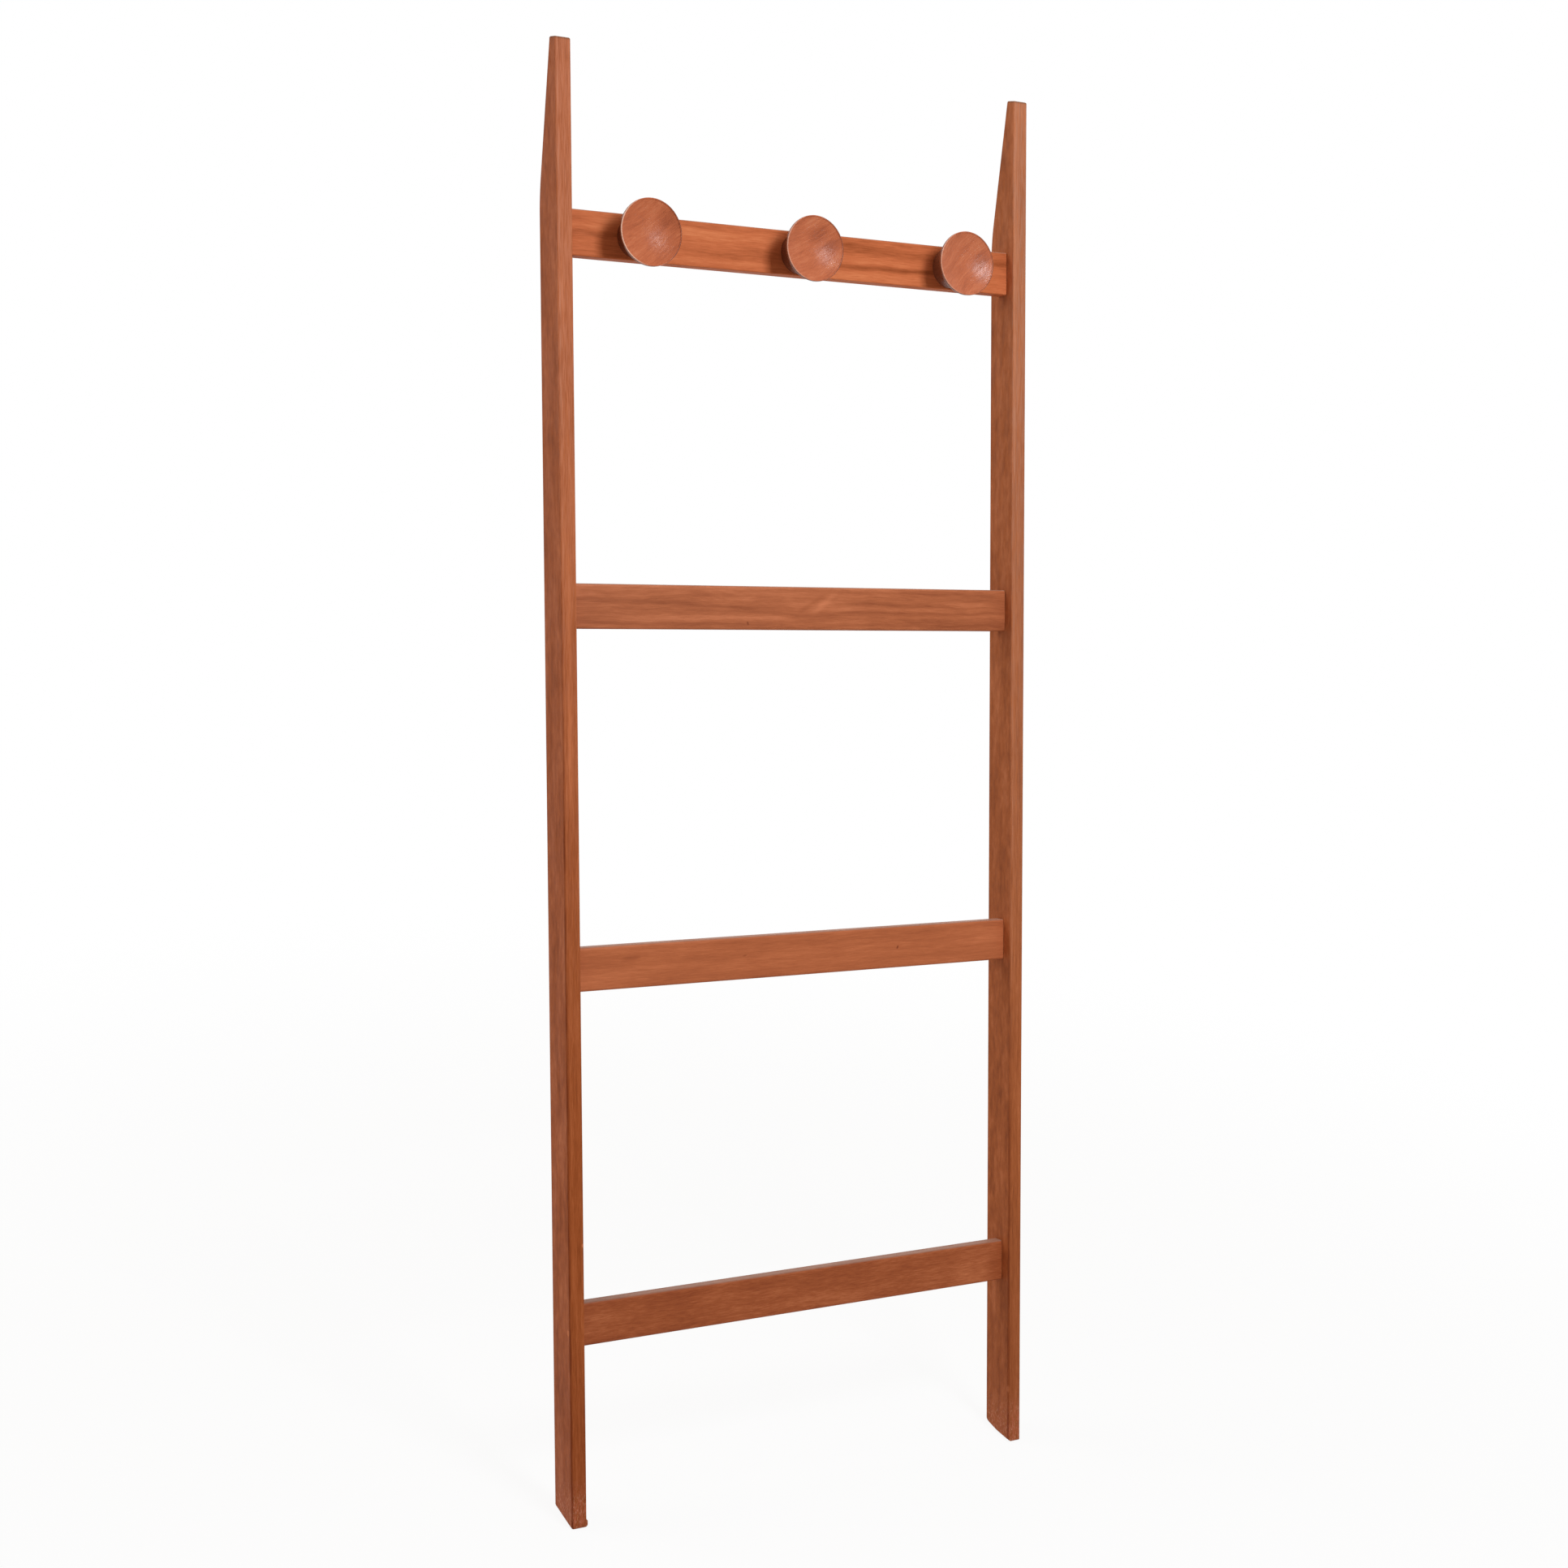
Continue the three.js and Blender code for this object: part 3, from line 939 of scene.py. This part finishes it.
slatLooks = {
    "lower_rung": {
        **slatLook,
        "seed": 21,
        "wander": 0.009,
        "wanderScale": (14, 20, 20),
        "figure": 0.3,
        "streaks": 0.5,
        "streakScale": (20, 90, 210),
        "fibre": 0.75,
        "fibreScale": (80, 350, 750),
        "cloud": 0.4,
        "cloudScale": (16, 30, 40),
        "colours": ["7a361c", "a45731", "cc7b50"],
        "streakMarks": [
            {"height": 0.0, "start": -0.4, "end": -0.235, "width": 0.03, "tone": 0.13},
            {"height": 0.004, "start": -0.13, "end": -0.02, "width": 0.012, "tone": 0.08},
            {"height": -0.006, "start": 0.215, "end": 0.262, "width": 0.028, "soft": 0.015, "tone": 0.16},
        ],
    },
    "middle_rung": {
        **slatLook,
        "seed": 34,
        "figure": 0.35,
        "streaks": 0.45,
        "cloud": 0.3,
        "colours": ["8a4528", "b76740", "dc8559"],
        "streakMarks": [
            {"height": -0.016, "start": -0.4, "end": -0.2, "width": 0.018, "soft": 0.04, "tone": 0.14},
            {"height": 0.004, "start": 0.24, "end": 0.4, "width": 0.03, "soft": 0.02, "tone": 0.08},
        ],
        "knotMarks": [
            {"place": (0.131, -0.008, 0.0), "size": (0.0016, 0.004, 0.0028), "turn": 0.5, "tone": -0.8},
            {"place": (-0.073, -0.008, 0.003), "size": (0.004, 0.004, 0.0014), "turn": -0.2, "tone": -0.22},
            {"place": (-0.216, -0.008, 0.009), "size": (0.016, 0.004, 0.004), "turn": -0.1, "tone": -0.15},
        ],
    },
    "upper_rung": {
        **slatLook,
        "seed": 47,
        "wander": 0.012,
        "wanderScale": (10, 16, 16),
        "figure": 0.6,
        "streaks": 0.7,
        "fibre": 0.6,
        "cloud": 0.3,
        "knotMarks": [
            {
                "place": (-0.067, -0.008, -0.0172), "size": (0.0015, 0.004, 0.0032),
                "turn": -0.4, "tone": -0.4,
            },
        ],
        "streakMarks": [
            {"height": -0.002, "rise": -0.038, "start": -0.3, "end": -0.06, "width": 0.004, "tone": -0.24},
            {"height": -0.0187, "rise": -0.004, "start": -0.29, "end": -0.11, "width": 0.004, "tone": -0.24},
            {"height": -0.0105, "rise": 0.01, "start": -0.24, "end": -0.02, "width": 0.006, "tone": 0.2},
            {
                "height": -0.0145, "rise": 0.62, "start": 0.018, "end": 0.044,
                "width": 0.007, "soft": 0.008, "tone": 0.18,
            },
            {
                "height": -0.002, "rise": 0.5, "start": 0.0, "end": 0.03,
                "width": 0.005, "soft": 0.008, "tone": -0.15,
            },
            {"height": 0.0035, "start": 0.06, "end": 0.3, "width": 0.005, "tone": -0.2},
            {"height": -0.007, "rise": 0.012, "start": 0.05, "end": 0.3, "width": 0.0044, "tone": -0.2},
            {"height": 0.008, "rise": -0.01, "start": 0.19, "end": 0.27, "width": 0.004, "tone": 0.18},
            {"height": -0.019, "start": 0.17, "end": 0.3, "width": 0.006, "tone": -0.22},
        ],
    },
    "peg_rail": {
        **slatLook,
        "seed": 55,
        "wanderScale": (9, 15, 15),
        "figure": 0.45,
        "streaks": 0.5,
        "fibre": 0.7,
        "gloss": 0.03,
        "colours": ["8f4826", "c36b42", "df8b5c"],
        "streakMarks": [
            {"height": 0.0, "start": -0.3, "end": -0.22, "width": 0.007, "tone": -0.3},
            {"height": 0.016, "start": -0.3, "end": -0.25, "width": 0.008, "tone": -0.25},
            {"height": 0.021, "start": -0.16, "end": 0.3, "width": 0.006, "tone": -0.2},
            {"height": -0.011, "rise": -0.03, "start": -0.16, "end": -0.02, "width": 0.009, "tone": -0.13},
            {"height": 0.012, "start": -0.16, "end": -0.03, "width": 0.010, "tone": 0.05},
            {"height": -0.017, "start": -0.16, "end": 0.0, "width": 0.006, "tone": 0.07},
            {"height": 0.013, "rise": -0.01, "start": 0.03, "end": 0.3, "width": 0.011, "tone": -0.33},
            {"height": -0.002, "start": 0.05, "end": 0.17, "width": 0.007, "tone": 0.1},
            {"height": -0.011, "rise": 0.02, "start": 0.04, "end": 0.2, "width": 0.006, "tone": -0.34},
        ],
    },
}


# The place on a peg has z out of its face, and the grain runs across the face at an angle
def pegTurn(degrees):
    facing = Matrix.Rotation(math.pi / 2 - lean, 3, "X") @ Matrix.Rotation(math.radians(degrees), 3, "Z")
    return facing.to_euler()


# The lip of a peg carries a painted highlight on one side and a painted dark reflection on the other, and
# all that lies behind the dish is darkened as painted shade
def pegPaintedLight(tree, board, colour, look):
    split = tree.nodes.new("ShaderNodeSeparateXYZ")
    tree.links.new(board, split.inputs[0])
    height = split.outputs[2]
    reach = pegMade["reach"]
    radius = lengthOf(tree, vectorSums(tree, "MULTIPLY", board, (1, 1, 0)))
    crest = pegMade["radius"] - look["crestShare"] * pegMade["lip"]
    fromCrest = sums(tree, "ABSOLUTE", sums(tree, "SUBTRACT", radius, crest))
    onLip = ranged(tree, fromCrest, *look["lipWidth"], 1, 0)
    deep, shallow = look["lipDepth"]
    onLip = product(tree, onLip, ranged(tree, height, reach - deep, reach - shallow))
    turned = math.radians(look["highlightTowards"] - look["grainTurn"])
    inputs = {0: board, 1: (math.cos(turned), math.sin(turned), 0)}
    side = addNode(tree, "VectorMath", inputs, output="Value", operation="DOT_PRODUCT")

    # The lip's other side is darkened as a painted dark reflection
    paintedDarkRim = product(tree, onLip, ranged(tree, side, *look["darkRimSide"], look["grimeAndShade"], 0))
    colour = mixedColour(tree, paintedDarkRim, colour, tint(look["grimeAndShadeColour"]))
    # All that lies behind the dish, the neck and flare, is darkened as painted shade
    bowl = pegMade["dish"] / pegMade["radius"] ** 2
    depth = sums(tree, "MULTIPLY_ADD", product(tree, radius, radius), -bowl, height)
    floor = reach - pegMade["dish"]
    deep, shallow = look["backDepth"]
    shadeBehind = ranged(tree, depth, floor - deep, floor - shallow, look["grimeAndShade"], 0)
    colour = mixedColour(tree, shadeBehind, colour, tint(look["grimeAndShadeColour"]))
    # The pale side of the lip is a painted highlight
    paintedHighlight = product(tree, onLip, ranged(tree, side, *look["highlightSide"], 0, look["paintedHighlight"]))
    return mixedColour(tree, paintedHighlight, colour, tint(look["highlightAndScuffColour"]))


pegLook = {
    **teakLook,
    "wander": 0.02,
    "wanderScale": (16, 20, 20),
    "figure": 0.45,
    "figureScale": (12, 70, 30),
    "streaks": 0.6,
    "streakScale": (40, 300, 100),
    "fibreScale": (110, 900, 300),
    "cloud": 0.3,
    "cloudScale": (30, 40, 40),
    "pores": 0.03,
    "poreScale": (170, 1000, 600),
    "colours": ["88442c", "b96744", "d58963"],
    "roughness": 0.25,
    "relief": 0.8,
    "toolMarks": 0.0016,
    "toolRelief": 0.12,
    "wearAndLight": pegPaintedLight,
    # The lip's painted highlight and painted dark reflection
    "crestShare": 1 / 3,
    "lipWidth": (0.0002, 0.0009),
    "lipDepth": (0.0016, 0.0004),
    "highlightTowards": 190,
    "highlightSide": (0.006, 0.03),
    "highlightAndScuffColour": "ecc4ae",
    # On the pegs this darkness is painted shade behind the dish and a painted dark reflection on the lip; on
    # the stiles it is real grime
    "grimeAndShade": 0.75,
    "darkRimSide": (-0.03, -0.004),
    "grimeAndShadeColour": "5a2d1e",
    "backDepth": (0.0012, 0.0001),
}

pegLooks = {
    "left_peg": {
        **pegLook,
        "seed": 61,
        "grainTurn": 38,
        "gloss": 0.09,
        "paintedHighlight": 0.8,
        "knotMarks": [
            {"place": (0.027, 0.001, 0.036), "size": (0.016, 0.018, 0.02), "tone": -0.2},
        ],
    },
    "middle_peg": {
        **pegLook,
        "seed": 72,
        "grainTurn": 30,
        "gloss": 0.13,
        "paintedHighlight": 0.4,
        "knotMarks": [
            {"place": (0.0150, 0.0115, 0.036), "size": (0.020, 0.011, 0.02), "tone": -0.25},
            {"place": (0.0220, -0.0070, 0.036), "size": (0.016, 0.010, 0.02), "tone": -0.25},
        ],
    },
    "right_peg": {
        **pegLook,
        "seed": 83,
        "grainTurn": 48,
        "gloss": 0.21,
        "paintedHighlight": 0.35,
        "knotMarks": [
            {"place": (0.0180, -0.0110, 0.036), "size": (0.018, 0.014, 0.02), "tone": -0.2},
        ],
    },
}

beechLook = {
    "colours": ["a98558", "c9a878", "dcc096"],
    "fibre": 0.7,
    "fibreScale": (60, 900, 900),
    "flecks": 0.3,
    "fleckScale": (400, 1600, 1600),
    "roughness": (0.6, 0.8),
    "relief": 0.4,
    "reliefDepth": 0.0002,
}


def beechWood():
    look = beechLook
    material, tree, shader = newMaterial("rawBeech")
    place = addNode(tree, "TexCoord", {}, output="Object")
    fibre = noiseOf(tree, stretched(tree, place, look["fibreScale"], seed=0), detail=3, roughness=0.6)
    flecks = noiseOf(tree, stretched(tree, place, look["fleckScale"], seed=0), detail=1)
    tone = added(tree, [(fibre, look["fibre"]), (flecks, look["flecks"])], 0)
    tree.links.new(rampOf(tree, tone, look["colours"]), shader.inputs["Base Color"])
    tree.links.new(ranged(tree, fibre, 0, 1, *look["roughness"]), shader.inputs["Roughness"])
    inputs = {"Height": fibre, "Strength": look["relief"], "Distance": look["reliefDepth"]}
    tree.links.new(addNode(tree, "Bump", inputs), shader.inputs["Normal"])
    return material


brassLook = {
    "clean": "b9964f",
    "dull": "7d6232",
    "tarnishScale": (500, 500, 500),
    "tarnishRange": (0.35, 0.7),
    "roughness": (0.3, 0.5),
}


def dullBrass():
    look = brassLook
    material, tree, shader = newMaterial("dullBrass")
    place = addNode(tree, "TexCoord", {}, output="Object")
    tarnish = stretched(tree, place, look["tarnishScale"], seed=0)
    tarnish = noiseOf(tree, tarnish, detail=4, roughness=0.6)
    tarnish = ranged(tree, tarnish, *look["tarnishRange"])
    colour = mixedColour(tree, tarnish, tint(look["clean"]), tint(look["dull"]))
    tree.links.new(colour, shader.inputs["Base Color"])
    tree.links.new(ranged(tree, tarnish, 0, 1, *look["roughness"]), shader.inputs["Roughness"])
    shader.inputs["Metallic"].default_value = 1
    return material


# Making the rack
for side in ("left", "right"):
    node = side + "_stile"
    wood = teakWood(side + "StileTeak", stileLooks[side], stileMiddle(node), stileTurn)
    finishPiece(makeStile(node, side), node, wood)
print("stiles made")

for node in slatNames:
    wood = teakWood(node + "Teak", slatLooks[node], middleOf(node), slatTurn)
    finishPiece(makeSlat(node), node, wood)
print("slats made")

for node in pegNames:
    look = pegLooks[node]
    wood = teakWood(node + "Teak", look, pegSeat(node), pegTurn(look["grainTurn"]))
    finishPiece(makePeg(node), node, wood)
print("pegs made")

brass = dullBrass()
for peg in pegNames:
    finishPiece(makeScrew(peg + "_screw"), peg + "_screw", brass)
print("screws made")

beech = beechWood()
firstDowel = makeDowel(dowelNames[0])
for node in dowelNames:
    dowel = firstDowel
    if node != dowelNames[0]:
        dowel = firstDowel.copy()
        dowel.data = firstDowel.data.copy()
        dowel.name = node + "_wood"
        bpy.context.scene.collection.objects.link(dowel)
        dowel.data.transform(Matrix.Translation(middleOf(node) - middleOf(dowelNames[0])))
    finishPiece(dowel, node, beech)
print("dowels made")


# Floor and light
stageMade = {
    "floorSize": 40,
    "paper": 0.85,
    "floorWhite": 0.92,
    "nearEdge": 0.5,
    "farEdge": 2.2,
    "worldLight": 0.23,
    "worldShade": (1.25, 0.95, 0.7),
}


# One where the surroundings are looked at, and nothing where they only light something
def backgroundRay(tree):
    path = tree.nodes.new("ShaderNodeLightPath")
    seen = sums(tree, "MAXIMUM", path.outputs["Is Camera Ray"], path.outputs["Is Glossy Ray"])
    return sums(tree, "MAXIMUM", seen, path.outputs["Is Transmission Ray"])


def makeFloor():
    made = stageMade
    selectNothing()
    bpy.ops.mesh.primitive_plane_add(size=made["floorSize"], location=(0, 0, cadBox[0].z))
    floor = settle("floor")
    material, tree, shader = newMaterial("whiteFloor")
    tree.nodes.remove(shader)
    paper = addNode(tree, "BsdfDiffuse", {"Color": (*[made["paper"]] * 3, 1)})
    glow = addNode(tree, "Emission", {"Color": (1, 1, 1, 1), "Strength": 1})
    away = lengthOf(tree, addNode(tree, "TexCoord", {}, output="Object"))
    white = ranged(tree, away, made["nearEdge"], made["farEdge"], made["floorWhite"], 1)
    share = product(tree, white, backgroundRay(tree))
    surface = addNode(tree, "MixShader", {0: share, 1: paper, 2: glow})
    tree.links.new(surface, tree.nodes["Material Output"].inputs["Surface"])
    floor.data.materials.append(material)


def makeWorld():
    world = bpy.data.worlds.new("whiteStudio")
    bpy.context.scene.world = world
    world.use_nodes = True
    tree = world.node_tree
    background = tree.nodes["Background"]
    seen = backgroundRay(tree)
    shade = mixedColour(tree, seen, (*stageMade["worldShade"], 1), (1, 1, 1, 1))
    tree.links.new(shade, background.inputs["Color"])
    strength = ranged(tree, seen, 0, 1, stageMade["worldLight"], 1, kind="LINEAR")
    tree.links.new(strength, background.inputs["Strength"])


lampsMade = {
    "keyLight": {
        "beside": "peg_rail",
        "away": 1.85,
        "toFront": 1,
        "toRight": 0.12,
        "toTop": 0.31,
        "aim": "middle_rung",
        "size": (0.55, 0.75),
        "power": 28,
        "shade": (0.94, 1.01, 1.08),
    },
    "leftLight": {
        "beside": "middle_rung",
        "away": 8,
        "toFront": -0.4,
        "toRight": -1,
        "toTop": 0.7,
        "aim": "middle_rung",
        "size": (5, 5),
        "power": 206,
        "shade": (0.97, 1, 1.02),
    },
    "topLight": {
        "beside": "peg_rail",
        "away": 2.2,
        "toFront": 0,
        "toRight": 0,
        "toTop": 1,
        "aim": "middle_rung",
        "size": (2.2, 1.6),
        "power": 18,
        "shade": (1, 1, 1),
    },
}


# A softbox stands off one slat, to its front, right and top, and faces another
def addSoftbox(name):
    made = lampsMade[name]
    away = front * made["toFront"] + sideways * made["toRight"] + up * made["toTop"]
    data = bpy.data.lights.new(name, "AREA")
    data.shape = "RECTANGLE"
    data.size, data.size_y = made["size"]
    data.energy = made["power"]
    data.color = made["shade"]
    lamp = bpy.data.objects.new(name, data)
    bpy.context.scene.collection.objects.link(lamp)
    lamp.location = middleOf(made["beside"]) + away.normalized() * made["away"]
    facing = middleOf(made["aim"]) - lamp.location
    lamp.rotation_euler = facing.to_track_quat("-Z", "Y").to_euler()


makeFloor()
makeWorld()
for lampName in lampsMade:
    addSoftbox(lampName)

cameraMade = {
    "place": (-1.2546, -2.1710, 1.3785),
    "facing": (0.47878, 0.83995, -0.25545),
    "upright": (0.04282, 0.26828, 0.96239),
    "lens": 51.624,
    "sensor": 36,
    "shiftUp": 0.04565,
}


def makeCamera():
    made = cameraMade
    data = bpy.data.cameras.new("camera")
    data.lens = made["lens"]
    data.sensor_width = made["sensor"]
    data.shift_y = made["shiftUp"]
    camera = bpy.data.objects.new("camera", data)
    bpy.context.scene.collection.objects.link(camera)
    facing = Vector(made["facing"]).normalized()
    rightward = facing.cross(Vector(made["upright"])).normalized()
    upright = rightward.cross(facing)
    turn = Matrix((rightward, upright, -facing)).transposed().to_4x4()
    camera.matrix_world = Matrix.Translation(made["place"]) @ turn
    bpy.context.scene.camera = camera


makeCamera()
print("stage, lights and camera set")
